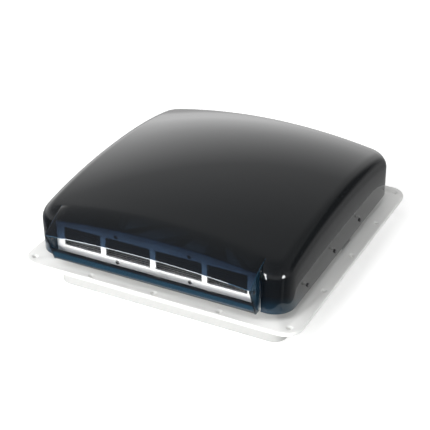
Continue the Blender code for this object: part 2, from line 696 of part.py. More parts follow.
def mouth_frame(axis):
    """The mouth's two cheeks and the sill between them, one smoked moulding under the hood."""
    rear = DOME_FRONT - GAP - OVERLAP
    under_hood = SHEET + 0.0012
    elbow_y, elbow_z = -0.2165, 0.0970
    edge_y, edge_z = HOOD_EDGE_Y + 0.0008, HOOD_EDGE_MIDDLE - HOOD_EDGE_DROP - SHEET - 0.0005
    rear_z = hood(MOUTH_HALF, hood_share(rear)).z - under_hood
    cheek = [(rear, SILL_BOTTOM), (rear, rear_z), (edge_y, edge_z), (elbow_y, elbow_z),
             (SILL_TOP_Y, SILL_TOP), (SILL_BOTTOM_Y, SILL_BOTTOM)]
    left = side_plate("mouth_frame", [cheek], -MOUTH_HALF, -MOUTH_HALF + SHEET)
    left = add("mouth_frame", left, SMOKE, axis, smooth=False)
    left.location = -axis.location
    boolean(left, side_plate("cheek", [cheek], MOUTH_HALF - SHEET, MOUTH_HALF), "UNION")
    inset, thick = 0.0004, 0.0024
    foot_y = GRILLE_Y - 0.001
    sill = [(SILL_BOTTOM_Y + inset, SILL_BOTTOM + inset), (foot_y, SILL_BOTTOM + inset),
            (foot_y, SILL_BOTTOM + thick), (SILL_BOTTOM_Y + thick - OVERLAP, SILL_BOTTOM + thick + inset),
            (SILL_TOP_Y + thick + inset, SILL_TOP - OVERLAP),
            (SILL_TOP_Y + inset, SILL_TOP - OVERLAP - inset)]
    boolean(left, side_plate("sill", [sill], -MOUTH_HALF + SHEET / 2, MOUTH_HALF - SHEET / 2), "UNION")
    across = MOUTH_HALF + PAST
    boolean(left, rod("pin_hole", SHEET_HOLE, (-across, CHEEK_PIN_Y, CHEEK_PIN_Z), 2 * across, "X", 10))
    return left


def cheek_pin(name, side, axis):
    """A pin through a cheek with its domed head outside."""
    stem, head, under_head = 0.0016, 0.0030, 0.0056
    profile = [(0, 0.0064), (0.0028, 0.0060), (head, under_head), (stem, under_head), (stem, 0), (0, 0)]
    start = MOUTH_HALF - SHEET - 0.0030
    pin = turned(name, profile, (side * start, CHEEK_PIN_Y, CHEEK_PIN_Z), 12, "X")
    if side < 0:
        pin.rotation_euler = (0, -math.pi / 2, 0)
    return add(name, pin, BLACK, axis)


def grille_top(x):
    return hood(x, hood_share(GRILLE_Y)).z - SHEET - 0.0016


def grille_screw_places():
    return [(x, z) for z in (GRILLE_SCREW_LOW, GRILLE_SCREW_HIGH) for x in (-GRILLE_SCREW_X, GRILLE_SCREW_X)]


def vent_grille(axis):
    """The mouth's white wall, its top crowned under the hood, and the strip of screen behind its windows."""
    low = SILL_BOTTOM + 0.0008
    steps = 14
    across = [GRILLE_HALF * (1 - 2 * i / steps) for i in range(steps + 1)]
    edge = [(-GRILLE_HALF, low), (GRILLE_HALF, low)] + [(x, grille_top(x)) for x in across]
    openings = [outline(x0, WINDOW_LOW, x1, WINDOW_HIGH, 0.0015, 2) for x0, x1 in WINDOWS]
    openings += [circle(x, z, SCREW_BORE, 8) for x, z in grille_screw_places()]
    wall = front_plate("vent_grille", [edge] + openings, GRILLE_Y, GRILLE_Y + GRILLE_THICK)
    wall = add("vent_grille", wall, WHITE, axis, smooth=False)
    wall.location = -axis.location
    half, back, thick = WINDOWS[-1][1] + 0.004, GRILLE_Y + GRILLE_THICK + GAP, 0.0008
    strip = outline(-half, WINDOW_LOW - 0.0085, half, WINDOW_HIGH + 0.0015, 0.002, 2)
    holes = [circle(x, z, SCREW_BORE, 8) for x, z in grille_screw_places() if z < WINDOW_LOW]
    screen = front_plate("grille_screen", [strip] + holes, back, back + thick)
    screen = add("grille_screen", screen, MESH, axis, smooth=False)
    screen.location = -axis.location


def screw_profile(length, head, head_height):
    """A low round-headed screw, its head's underside at its length and its stem's end at 0."""
    stem, crest = 0.0015, length + head_height
    return [(0, crest), (0.0020, crest - OVERLAP), (head, length), (stem, length), (stem, 0), (0, 0)]


def grille_screw(name, x, z, axis):
    length = 0.0080
    place = (x, GRILLE_Y + length - GAP, z)
    return add(name, turned(name, screw_profile(length, 0.0032, 0.0012), place, 12, "Y"), STEEL, axis)


def dome_screw(name, side, y, axis):
    length = 0.0067
    place = (side * (DOME_HALF - length + GAP), y, DOME_SCREW_Z)
    screw = turned(name, screw_profile(length, 0.0030, 0.0011), place, 12, "X")
    if side < 0:
        screw.rotation_euler = (0, -math.pi / 2, 0)
    return add(name, screw, BLACK, axis)


def lid_frame(axis):
    """The white ring inside the dome's rim: it carries the pivots and the grille, and shuts on the seal."""
    def frame_outline(inset):
        return outline(-FRAME_HALF + inset, FRAME_FRONT + inset, FRAME_HALF - inset, FRAME_BACK - inset,
                       FRAME_CORNER - inset)

    wall_top = WEB_LOW + 5 * OVERLAP
    walls = plate("lid_frame", [frame_outline(0), frame_outline(FRAME_WALL)], FRAME_LOW, wall_top)
    ring = add("lid_frame", walls, WHITE, axis)
    web = plate("web", [frame_outline(OVERLAP), square(WEB_OPENING, CURB_CORNER)],
                WEB_LOW, WEB_LOW + WEB_THICK)
    boolean(ring, web, "UNION")
    # each post stands behind a bar between two windows, and an arm at its top reaches the upper screw
    boss_high = WINDOW_LOW - 0.0007
    arm_low = WINDOW_HIGH + 0.0010
    for side in (-1, 1):
        x0, x1 = sorted((side * (POST_X - POST_HALF), side * (POST_X + POST_HALF)))
        boolean(ring, box((x0, POST_FRONT, POST_LOW), (x1, POST_BACK, POST_HIGH)), "UNION")
        reach = side * (GRILLE_SCREW_X - BOSS_HALF)
        x0, x1 = sorted((reach, side * (POST_X + POST_HALF - OVERLAP)))
        arm = box((x0, POST_FRONT + OVERLAP, arm_low), (x1, POST_BACK - OVERLAP, POST_HIGH - OVERLAP))
        boolean(ring, arm, "UNION")
        x0, x1 = sorted((reach, side * (GRILLE_SCREW_X + BOSS_HALF)))
        boolean(ring, box((x0, POST_FRONT, POST_LOW), (x1, POST_BACK, boss_high)), "UNION")
        for z in (GRILLE_SCREW_LOW, GRILLE_SCREW_HIGH):
            boolean(ring, rod("screw_bore", SCREW_BORE, (side * GRILLE_SCREW_X, -0.180, z), 0.020, "Y", 8))
    lug_inner, lug_outer, lug_half = 0.1772, 0.1830, 0.007
    bore_reach, bore_middle, bore_length = 0.005, 0.1795, 0.0088
    for side in (-1, 1):
        x0, x1 = sorted((side * lug_inner, side * lug_outer))
        for y in (FRONT_PIVOT_Y + ARM_LENGTH, REAR_PIVOT_Y + ARM_LENGTH):
            lug = box((x0, y - lug_half, FRAME_LOW + 2 * OVERLAP), (x1, y + lug_half, PIVOT_Z + lug_half))
            boolean(ring, lug, "UNION")
            start = (side * bore_middle - bore_reach, y, PIVOT_Z)
            boolean(ring, rod("pivot_bore", PIN_RADIUS + GAP, start, bore_length, "X", 16))
        for y in DOME_SCREWS_Y:
            start = (side * lug_outer - bore_reach, y, DOME_SCREW_Z)
            boolean(ring, rod("screw_bore", SCREW_BORE, start, 2 * bore_reach, "X", 8))
    return ring


def lid_pivot(name, side, y, axis):
    """A shouldered pin through an arm's end into the lid frame's lug, with a wide head inside."""
    head, head_thick, length = 0.0048, 0.0015, 0.010
    profile = [(0, 0), (head, 0), (head, -head_thick), (PIN_RADIUS, -head_thick), (PIN_RADIUS, -length),
               (0, -length)]
    pin = turned(name, profile, (side * (ARM_X - GAP - head_thick), y, PIVOT_Z), 20, "X")
    pin.rotation_euler = (0, -side * math.pi / 2, 0)
    return add(name, pin, STEEL, axis)


# ---------------------------------------------------------------- lifting arms and their drive
def lift_arm(name, side, pivot_y, root_radius, axis):
    bar = [(y + pivot_y, z + PIVOT_Z) for y, z in stadium(0, ARM_LENGTH, ARM_HALF_WIDTH)]
    holes = [circle(pivot_y, PIVOT_Z, root_radius + GAP, 20),
             circle(pivot_y + ARM_LENGTH, PIVOT_Z, PIN_RADIUS + GAP, 20)]
    low, high = sorted((side * ARM_X, side * (ARM_X + ARM_THICK)))
    arm = add(name, side_plate(name, [bar] + holes, low, high), ZINC, axis)
    arm.location = -axis.location
    return arm


def cross_shaft(axis):
    reach = ARM_X + ARM_THICK + 0.0005
    bar = rod("cross_shaft", SHAFT_RADIUS, (-reach, FRONT_PIVOT_Y, PIVOT_Z), 2 * reach, "X")
    return add("cross_shaft", bar, STEEL, axis)


def worm_wheel(axis):
    """A thin straight-toothed wheel; a tooth space faces the worm at rest."""
    tip, root = WHEEL_PITCH + 0.0008, WHEEL_PITCH - 0.0011
    tip_half, root_half, wheel_half = 0.00035, 0.0010, 0.002
    teeth = []
    for index in range(WHEEL_TEETH):
        middle = 2 * math.pi * (index + 0.5) / WHEEL_TEETH
        for radius, half in ((root, root_half), (tip, tip_half), (tip, -tip_half), (root, -root_half)):
            turn = middle - half / WHEEL_PITCH
            teeth.append((FRONT_PIVOT_Y + radius * math.cos(turn), PIVOT_Z + radius * math.sin(turn)))
    wheel = side_plate("worm_wheel", [teeth, circle(FRONT_PIVOT_Y, PIVOT_Z, SHAFT_RADIUS + GAP, 20)],
                       WORM_X - wheel_half, WORM_X + wheel_half)
    wheel = add("worm_wheel", wheel, BRASS, axis, smooth=False)
    wheel.location = -axis.location
    return wheel


def worm(axis):
    """The worm and its spindle; the thread starts so that it passes the wheel's tooth space."""
    core, crest = 0.0038, 0.0058
    low, high = 0.0575, 0.0755
    bottom, top = 0.0125, 0.0788
    profile = [(0, top), (PIN_RADIUS, top), (PIN_RADIUS, high), (core, high), (core, low), (PIN_RADIUS, low),
               (PIN_RADIUS, bottom), (0, bottom)]
    spindle = add("worm", turned("worm", profile, (WORM_X, WORM_Y, 0), 24), STEEL, axis)
    mesh = bpy.data.meshes.new("thread")
    turns, steps = 4, 14
    inner, foot, land = core - 0.0006, 0.00075, 0.0004
    bm = bmesh.new()
    section = [bm.verts.new((0, -out, up)) for out, up in
               ((inner, -foot), (inner, foot), (crest, land), (crest, -land))]
    loop = [bm.edges.new((section[i], section[(i + 1) % 4])) for i in range(4)]
    bmesh.ops.spin(bm, geom=section + loop, cent=(0, 0, 0), axis=(0, 0, 1), dvec=(0, 0, TOOTH_PITCH / steps),
                   angle=2 * math.pi * turns, steps=turns * steps)
    bmesh.ops.holes_fill(bm, edges=[edge for edge in bm.edges if edge.is_boundary], sides=4)
    bmesh.ops.recalc_face_normals(bm, faces=bm.faces)
    bm.to_mesh(mesh)
    bm.free()
    thread = bpy.data.objects.new("thread", mesh)
    thread.location = (WORM_X, WORM_Y, PIVOT_Z - turns / 2 * TOOTH_PITCH)
    return boolean(spindle, thread, "UNION")


def worm_housing():
    """A folded bracket on the deck that steadies the worm's two ends."""
    half, front, thick = 0.012, 0.007, 0.002
    low, high = DECK_TOP + GAP, 0.0765
    x0, x1 = WORM_X - half, WORM_X + half
    y0, y1 = WORM_Y - front, WORM_Y + half
    leaf = [outline(x0, y0, x1, y1, thick, 2), circle(WORM_X, WORM_Y, PIN_RADIUS + GAP, 16)]
    foot = add("worm_housing", plate("worm_housing", leaf, low, low + thick), ZINC)
    boolean(foot, plate("cap", leaf, high, high + thick), "UNION")
    inset = 0.0003
    back = box((x0 + inset, y1 - thick - inset, low + 2 * OVERLAP),
               (x1 - inset, y1 - inset, high + thick - 2 * OVERLAP))
    return boolean(foot, back, "UNION")


def crank_knob(axis):
    """A round knob with finger scallops, pressed on the worm's lower end."""
    radius, low, high, edge = 0.021, 0.005, 0.019, 0.002
    boss_top, boss, bore, bore_end = 0.025, 0.008, PIN_RADIUS + GAP, 0.0120
    profile = [(bore, boss_top), (boss, boss_top), (boss + PAST, high), (radius - edge, high),
               (radius, high - edge), (radius, low + edge), (radius - edge, low), (0, low), (0, bore_end),
               (bore, bore_end)]
    knob = add("crank_knob", turned("crank_knob", profile, (WORM_X, WORM_Y, 0), 32), BLACK, axis)
    lobes, scallop, scallop_centre = 8, 0.0050, radius + 0.0025
    for index in range(lobes):
        turn = 2 * math.pi * index / lobes
        at = (WORM_X + scallop_centre * math.cos(turn), WORM_Y + scallop_centre * math.sin(turn), low - edge)
        boolean(knob, rod("scallop", scallop, at, high - low + 2 * edge - OVERLAP, "Z", 12))
    return knob


def shaft_bearing(name, side):
    """A flanged bush in the curb's wall for the cross shaft."""
    start, shoulder, end = 0.1612, CURB_HALF + GAP, 0.1685
    bore, sleeve, flange = SHAFT_RADIUS + GAP, BUSH_BORE - GAP, 0.0090
    profile = [(bore, end), (flange, end), (flange, shoulder), (sleeve, shoulder), (sleeve, start),
               (bore, start)]
    bush = turned(name, profile, (0, FRONT_PIVOT_Y, PIVOT_Z), 20, "X")
    if side < 0:
        bush.rotation_euler = (0, -math.pi / 2, 0)
    return add(name, bush, BLACK)


def rear_bracket(name, side):
    """An angle bracket on the flange beside the curb, holding a rear arm's lower pivot."""
    off_curb, thick, foot_reach, half, neck, rise = 0.0008, 0.003, 0.0175, 0.014, 0.007, 0.006
    low, high = sorted((side * (CURB_HALF + off_curb), side * (CURB_HALF + off_curb + thick)))
    y0, y1 = REAR_PIVOT_Y - half, REAR_PIVOT_Y + half
    base = FLANGE_TOP + GAP
    foot_top = base + 2 * OVERLAP
    upright = [(y0, foot_top), (y1, foot_top), (y1, base + rise), (REAR_PIVOT_Y + neck, PIVOT_Z + rise),
               (REAR_PIVOT_Y - neck, PIVOT_Z + rise), (y0, base + rise)]
    leaf = side_plate(name, [upright, circle(REAR_PIVOT_Y, PIVOT_Z, PIN_RADIUS + GAP, 16)], low, high)
    leaf = add(name, leaf, ZINC, smooth=False)
    x0, x1 = sorted((side * (CURB_HALF + off_curb + GAP), side * (CURB_HALF + foot_reach)))
    return boolean(leaf, box((x0, y0 + GAP, base), (x1, y1 - GAP, base + 0.0025)), "UNION")


def rear_pin(name, side):
    """A headed pin from the bracket out through the arm."""
    start = CURB_HALF + GAP
    end = ARM_X + ARM_THICK + 0.0020
    head, under_head = 0.0045, end - 0.0015
    profile = [(0, end), (head, end), (head, under_head), (PIN_RADIUS, under_head), (PIN_RADIUS, start),
               (0, start)]
    pin = turned(name, profile, (0, REAR_PIVOT_Y, PIVOT_Z), 20, "X")
    if side < 0:
        pin.rotation_euler = (0, -math.pi / 2, 0)
    return add(name, pin, STEEL)


# ---------------------------------------------------------------- assembly
base_flange()
lid_seal()
fan_deck()
motor_spider()
motor()
fan(axis_empty("fan_axis", (0, 0, BLADE_Z), roof_fan))
insect_screen()
for number in range(4):
    screen_latch(f"screen_latch_{number + 1}", math.pi / 2 * number)
control_panel()
button("button_power", -BUTTON_STEP, -BUTTON_STEP)
button("button_direction", BUTTON_STEP, -BUTTON_STEP)
button("button_slower", -BUTTON_STEP, BUTTON_STEP)
button("button_faster", BUTTON_STEP, BUTTON_STEP)
cable_gland()

front_axis = axis_empty("front_arm_axis", (0, FRONT_PIVOT_Y, PIVOT_Z), roof_fan)
rear_axis = axis_empty("rear_arm_axis", (0, REAR_PIVOT_Y, PIVOT_Z), roof_fan)
lid_axis = axis_empty("lid_axis", (0, FRONT_PIVOT_Y + ARM_LENGTH, PIVOT_Z), roof_fan)
drive_axis = axis_empty("drive_axis", (WORM_X, WORM_Y, PIVOT_Z), roof_fan)

cross_shaft(front_axis)
worm_wheel(front_axis)
for side, word in ((-1, "left"), (1, "right")):
    lift_arm(f"front_arm_{word}", side, FRONT_PIVOT_Y, SHAFT_RADIUS, front_axis)
    lift_arm(f"rear_arm_{word}", side, REAR_PIVOT_Y, PIN_RADIUS, rear_axis)
    shaft_bearing(f"shaft_bearing_{word}", side)
    rear_bracket(f"rear_bracket_{word}", side)
    rear_pin(f"rear_pin_{word}", side)
    lid_pivot(f"lid_pin_front_{word}", side, FRONT_PIVOT_Y + ARM_LENGTH, lid_axis)
    lid_pivot(f"lid_pin_rear_{word}", side, REAR_PIVOT_Y + ARM_LENGTH, lid_axis)
    cheek_pin(f"cheek_pin_{word}", side, lid_axis)
    for number, y in enumerate(DOME_SCREWS_Y):
        dome_screw(f"dome_screw_{word}_{number + 1}", side, y, lid_axis)
worm(drive_axis)
worm_housing()
crank_knob(drive_axis)

lid_frame(lid_axis)
lid_dome(lid_axis)
mouth_frame(lid_axis)
vent_grille(lid_axis)
for number, (x, z) in enumerate(grille_screw_places()):
    grille_screw(f"grille_screw_{number + 1}", x, z, lid_axis)
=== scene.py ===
"""A roof ventilator with a smoked lifting lid: its looks, piece by piece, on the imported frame."""
import math

import bpy
from mathutils import Matrix, Vector


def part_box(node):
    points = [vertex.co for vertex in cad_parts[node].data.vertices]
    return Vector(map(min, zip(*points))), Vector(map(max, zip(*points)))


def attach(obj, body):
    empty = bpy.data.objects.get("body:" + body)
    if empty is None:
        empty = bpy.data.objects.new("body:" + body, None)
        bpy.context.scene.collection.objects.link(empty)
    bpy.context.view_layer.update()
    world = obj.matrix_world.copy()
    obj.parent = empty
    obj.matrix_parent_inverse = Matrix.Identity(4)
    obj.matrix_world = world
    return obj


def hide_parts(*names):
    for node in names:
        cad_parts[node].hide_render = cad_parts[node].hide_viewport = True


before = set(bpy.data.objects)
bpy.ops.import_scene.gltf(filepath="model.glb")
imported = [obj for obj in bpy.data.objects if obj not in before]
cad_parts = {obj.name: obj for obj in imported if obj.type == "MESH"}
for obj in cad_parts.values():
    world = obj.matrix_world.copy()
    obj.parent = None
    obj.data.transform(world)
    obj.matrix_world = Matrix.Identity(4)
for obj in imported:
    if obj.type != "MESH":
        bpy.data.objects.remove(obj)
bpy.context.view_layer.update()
scene = bpy.context.scene

# ------------------------------------------------------------------ the floor, the light and the camera
# A plain white table before a bright sweep, in a room that is dim in front and overhead, with a dark
# doorway and a pale post on the right. The polished sheet mirrors them as a pale far rim, a dark crown
# and dark near corners. Soft lamps stand round the table, and two windows are mirrored only.
FLOOR_SIZE = 60.0
FLOOR_DROP = 0.0003
FLOOR_GLOW = 0.90
PAINTED_SHADE_WITHIN, BRIGHT_BEYOND = 0.45, 2.2
PAINTED_SHADE_SHARE = 0.37
SWEEP_LIGHT = 2.6
RIGHT_SHADE = 0.42
SWEEP = [(0.0, 0.20), (0.40, 0.24), (0.47, 0.34), (0.50, 0.58), (0.54, 0.70), (0.60, 0.58), (0.635, 0.48),
         (0.695, 0.33), (0.75, 0.19), (0.87, 0.12), (1.0, 0.08)]
DOORWAY = [(0.0, 0.17), (0.40, 0.20), (0.47, 0.25), (0.52, 0.17), (0.58, 0.04), (0.70, 0.03), (0.76, 0.12),
           (1.0, 0.08)]
ROOM = [(0.0, 0.02), (0.45, 0.02), (0.50, 0.10), (0.53, 0.32), (0.65, 0.30), (0.75, 0.12), (1.0, 0.06)]
ROOM_TO_SWEEP = (-0.35, 0.60)
SWEEP_TO_DOORWAY = (0.10, 0.40)
LIT_TO_SHADED = (-0.45, 0.35)
HORIZON = 0.5
POST_TURN = math.radians(64)
POST_EDGE, POST_CORE = 0.11, 0.02
POST_LIGHT = 0.16
AIM = Vector((-0.02029, 0.02224, 0.047))
AZIMUTH, ELEVATION, ROLL = (math.radians(angle) for angle in (27.904, 30.276, -1.102))
DISTANCE = 1.7069
LENS = 97.90


class Port:
    """One output socket of a shader tree; sums and products of ports add their Math nodes."""

    def __init__(self, tree, socket):
        self.tree = tree
        self.socket = socket

    def maths(self, operation, *values):
        node = self.tree.nodes.new("ShaderNodeMath")
        node.operation = operation
        for place, value in zip(node.inputs, values):
            if isinstance(value, Port):
                self.tree.links.new(value.socket, place)
            else:
                place.default_value = value
        return Port(self.tree, node.outputs[0])

    def __add__(self, other):
        return self.maths("ADD", self, other)

    def __radd__(self, other):
        return self.maths("ADD", other, self)

    def __sub__(self, other):
        return self.maths("SUBTRACT", self, other)

    def __rsub__(self, other):
        return self.maths("SUBTRACT", other, self)

    def __mul__(self, other):
        return self.maths("MULTIPLY", self, other)

    def __rmul__(self, other):
        return self.maths("MULTIPLY", other, self)

    def __pow__(self, other):
        return self.maths("POWER", self, other)

    def __gt__(self, other):
        return self.maths("GREATER_THAN", self, other)

    def __lt__(self, other):
        return self.maths("LESS_THAN", self, other)


class Finish:
    """A finish under construction: a node tree, and one method that adds any node to it."""

    def __init__(self, owner):
        owner.use_nodes = True
        self.owner = owner
        self.tree = owner.node_tree

    def node(self, kind, settings, inputs, output=0):
        made = self.tree.nodes.new(kind)
        for name, value in settings.items():
            if name == "stops":
                ramp = made.color_ramp.elements
                while len(ramp) < len(value):
                    ramp.new(0.5)
                for stop, (position, shade) in zip(ramp, value):
                    stop.position = position
                    stop.color = (*shade, 1)
            else:
                setattr(made, name, value)
        for name, value in inputs.items():
            self.feed(made.inputs[name], value)
        return Port(self.tree, made.outputs[output])

    def feed(self, place, value):
        if isinstance(value, Port):
            self.tree.links.new(value.socket, place)
        else:
            place.default_value = value


def coordinate(finish, vector, axis):
    return finish.node("ShaderNodeSeparateXYZ", {}, {"Vector": vector}, axis)


def faded(finish, value, start, end, low=0.0, high=1.0):
    """Runs smoothly from low, where value is start, to high, where it is end."""
    return finish.node("ShaderNodeMapRange", {"interpolation_type": "SMOOTHSTEP"},
                       {"Value": value, "From Min": start, "From Max": end, "To Min": low, "To Max": high})


def mixed(finish, share, first, second):
    """One colour out of two, with share of the second."""
    first, second = (colour if isinstance(colour, Port) else (*colour, 1) for colour in (first, second))
    return finish.node("ShaderNodeMix", {"data_type": "RGBA"}, {"Factor": share, "A": first, "B": second}, 2)


studio = Finish(bpy.data.worlds.new("studio"))
scene.world = studio.owner
direction = studio.node("ShaderNodeTexCoord", {}, {}, "Generated")
rightward, backward = coordinate(studio, direction, "X"), coordinate(studio, direction, "Y")
height = coordinate(studio, direction, "Z") * 0.5 + 0.5


def by_height(tones):
    """Greys by height: 0 is straight down, 0.5 the horizon and 1 straight up."""
    return studio.node("ShaderNodeValToRGB", {"stops": [(at, (tone,) * 3) for at, tone in tones]},
                       {"Fac": height})


beside = faded(studio, rightward, *SWEEP_TO_DOORWAY)
around = mixed(studio, beside, by_height(SWEEP), by_height(DOORWAY))
around = mixed(studio, faded(studio, backward, *ROOM_TO_SWEEP), by_height(ROOM), around)
off_post = rightward * math.cos(POST_TURN) + backward * math.sin(POST_TURN)
on_post = faded(studio, off_post.maths("ABSOLUTE", off_post), POST_EDGE, POST_CORE)
on_post = on_post * (height < HORIZON) * (beside > 0.5)
around = mixed(studio, on_post, around, (POST_LIGHT,) * 3)
seen = studio.node("ShaderNodeLightPath", {}, {}, "Is Camera Ray")
background = studio.tree.nodes["Background"]
studio.feed(background.inputs["Color"], mixed(studio, seen, around, (1, 1, 1)))
shade = RIGHT_SHADE * faded(studio, rightward, *LIT_TO_SHADED)
studio.feed(background.inputs["Strength"], SWEEP_LIGHT * (1 - shade))

bpy.ops.object.select_all(action="DESELECT")
bpy.ops.mesh.primitive_plane_add(size=FLOOR_SIZE, location=(0, 0, -FLOOR_DROP))
floor = bpy.context.object
floor.name = "floor"
table_white = Finish(bpy.data.materials.new("table_white"))
table_shader = table_white.tree.nodes["Principled BSDF"]
table_white.feed(table_shader.inputs["Base Color"], (0.93, 0.93, 0.93, 1))
table_white.feed(table_shader.inputs["Roughness"], 0.9)
table_white.feed(table_shader.inputs["Specular IOR Level"], 0.1)
spot = table_white.node("ShaderNodeTexCoord", {}, {}, "Object")
away = table_white.node("ShaderNodeVectorMath", {"operation": "LENGTH"}, {"Vector": spot}, "Value")
# The table's glow is weaker near the part: a painted shadow round it.
lit = faded(table_white, away, PAINTED_SHADE_WITHIN, BRIGHT_BEYOND, PAINTED_SHADE_SHARE)
table_white.feed(table_shader.inputs["Emission Color"], mixed(table_white, lit, (0, 0, 0), (1, 1, 1)))
table_white.feed(table_shader.inputs["Emission Strength"], FLOOR_GLOW)
floor.data.materials.append(table_white.owner)
floor.visible_glossy = False


def soft_lamp(name, azimuth, elevation, distance, size, watts, mirrored=False):
    """A square soft lamp. A mirrored one is a window that shows only as a small bright patch on the
    polished corners, and the others light the part without being mirrored."""
    lamp = bpy.data.lights.new(name, "AREA")
    lamp.size = size
    lamp.energy = watts
    stand = bpy.data.objects.new(name, lamp)
    turn, lift = math.radians(azimuth), math.radians(elevation)
    away = Vector((math.sin(turn) * math.cos(lift), -math.cos(turn) * math.cos(lift), math.sin(lift)))
    stand.location = AIM + away * distance
    stand.rotation_euler = away.to_track_quat("Z", "Y").to_euler()
    stand.visible_glossy = mirrored
    stand.visible_diffuse = not mirrored
    stand.visible_camera = False
    scene.collection.objects.link(stand)


soft_lamp("key_lamp", -28, 38, 2.4, 1.6, 34)
soft_lamp("top_lamp", 10, 66, 2.4, 1.2, 18)
soft_lamp("mouth_lamp", 0, 13, 2.6, 1.2, 14)
soft_lamp("front_lamp", -15, 5, 2.4, 0.8, 27)
soft_lamp("side_lamp", 98, 48, 2.4, 1.2, 9)
soft_lamp("right_lamp", 78, 2, 2.4, 0.8, 7)
soft_lamp("back_lamp", 190, 55, 2.6, 1.8, 6)
soft_lamp("near_window", -19, 4, 2.4, 1.25, 108, True)
soft_lamp("right_window", 64, 12, 2.4, 0.50, 14, True)

scene.view_settings.view_transform = "Standard"
lens = bpy.data.cameras.new("camera")
lens.lens = LENS
lens.sensor_width = 36.0
camera = bpy.data.objects.new("camera", lens)
towards = Vector((math.sin(AZIMUTH) * math.cos(ELEVATION), -math.cos(AZIMUTH) * math.cos(ELEVATION),
                  math.sin(ELEVATION)))
aimed = towards.to_track_quat("Z", "Y").to_matrix() @ Matrix.Rotation(ROLL, 3, "Z")
camera.matrix_world = Matrix.Translation(AIM + towards * DISTANCE) @ aimed.to_4x4()
scene.collection.objects.link(camera)
scene.camera = camera

# ------------------------------------------------------------------ white mouldings
# Flange with its collar and curb, deck, spider, covers, screen ring, latches and the lid's inner frame
# are injection-moulded white plastic: a fine spark-eroded grain, a satin sheen, and slight flow marks.
WHITE = (0.77, 0.773, 0.76)
WHITE_SHADED = (0.71, 0.712, 0.70)
FLANGE_UNDERSIDE = 0.0405
PAINTED_SHADE_TONE = 0.70
MARK_LEVEL, MARK_CONTRAST = 0.60, 6.0
SHARP_ANGLE, SMOOTH_ANGLE, FLAT_ANGLE = 38, 34, 1.0
WELD = 0.00001


def moulded_plastic(name, light, dark, roughness, grain=2600.0, grain_depth=0.00003, painted_shade_below=None):
    """Satin moulded plastic: a slow drift between two near tones, a fine grain, and faint rubbed marks.
    Below the height given last, it is painted greyer: painted shade, for the shade under an overhang."""
    paint = Finish(bpy.data.materials.new(name))
    spot = paint.node("ShaderNodeTexCoord", {}, {}, "Object")
    drift = paint.node("ShaderNodeTexNoise", {}, {"Vector": spot, "Scale": 14.0, "Detail": 3.0})
    flow = paint.node("ShaderNodeTexNoise", {},
                      {"Vector": spot, "Scale": 95.0, "Detail": 4.0, "Distortion": 0.6})
    fine = paint.node("ShaderNodeTexNoise", {}, {"Vector": spot, "Scale": grain, "Detail": 2.0})
    stretched = paint.node("ShaderNodeMapping", {}, {"Vector": spot, "Scale": (1.0, 9.0, 1.0)})
    rubbed = paint.node("ShaderNodeTexNoise", {}, {"Vector": stretched, "Scale": 160.0, "Detail": 6.0})
    marks = paint.node("ShaderNodeClamp", {}, {"Value": (rubbed - MARK_LEVEL) * MARK_CONTRAST})
    colour = mixed(paint, drift * 0.7 + flow * 0.3, light, dark)
    if painted_shade_below:
        tall = coordinate(paint, spot, "Z")
        # Painted shade: below that height the colour turns a darker grey.
        colour = mixed(paint, tall < painted_shade_below, colour, [tone * PAINTED_SHADE_TONE for tone in dark])
    shader = paint.tree.nodes["Principled BSDF"]
    paint.feed(shader.inputs["Base Color"], colour)
    paint.feed(shader.inputs["Roughness"], roughness + (flow - 0.5) * 0.10 + marks * 0.06)
    bump = paint.node("ShaderNodeBump", {}, {"Height": fine + flow * 0.35, "Strength": 0.35,
                                             "Distance": grain_depth})
    paint.feed(shader.inputs["Normal"], bump)
    return paint.owner


white_plastic = moulded_plastic("white_plastic", WHITE, WHITE_SHADED, 0.46)


def select_only(piece):
    bpy.ops.object.select_all(action="DESELECT")
    piece.select_set(True)
    bpy.context.view_layer.objects.active = piece


def rounded(piece, width, segments=2, angle=SHARP_ANGLE):
    """Breaks a piece's sharp edges with a small round and shades the rest smooth."""
    select_only(piece)
    edge = piece.modifiers.new("edge_round", "BEVEL")
    edge.width = width
    edge.segments = segments
    edge.limit_method = "ANGLE"
    edge.angle_limit = math.radians(angle)
    edge.miter_outer = "MITER_ARC"
    bpy.ops.object.modifier_apply(modifier=edge.name)
    bpy.ops.object.shade_smooth_by_angle(angle=math.radians(SMOOTH_ANGLE))


def finished(node, body, finish, edge=0.0004, segments=2):
    """The frame's own solid as a finished piece: welded, its edges rounded and its skin smooth."""
    piece = bpy.data.objects.new(node + "_finished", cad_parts[node].data.copy())
    scene.collection.objects.link(piece)
    select_only(piece)
    if piece.data.has_custom_normals:
        bpy.ops.mesh.customdata_custom_splitnormals_clear()
    bpy.ops.object.mode_set(mode="EDIT")
    bpy.ops.mesh.select_all(action="SELECT")
    bpy.ops.mesh.remove_doubles(threshold=WELD)
    bpy.ops.mesh.dissolve_limited(angle_limit=math.radians(FLAT_ANGLE))
    bpy.ops.object.mode_set(mode="OBJECT")
    piece.data.materials.clear()
    piece.data.materials.append(finish)
    rounded(piece, edge, segments)
    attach(piece, body)
    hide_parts(node)


# The collar under the flange is painted greyer: painted shade under the overhang.
flange_plastic = moulded_plastic("flange_plastic", WHITE, WHITE_SHADED, 0.46, painted_shade_below=FLANGE_UNDERSIDE)
finished("base_flange", "base", flange_plastic, 0.0005)
finished("fan_deck", "base", white_plastic)
finished("motor_spider", "base", white_plastic, 0.0005)
finished("motor_cover", "base", white_plastic)
finished("screen_ring", "base", white_plastic, 0.0003)
finished("control_housing", "base", white_plastic, 0.0003)
finished("impeller", "fan", white_plastic, 0.0003)
for number in range(1, 5):
    finished(f"screen_latch_{number}", f"latch_{number}", white_plastic)

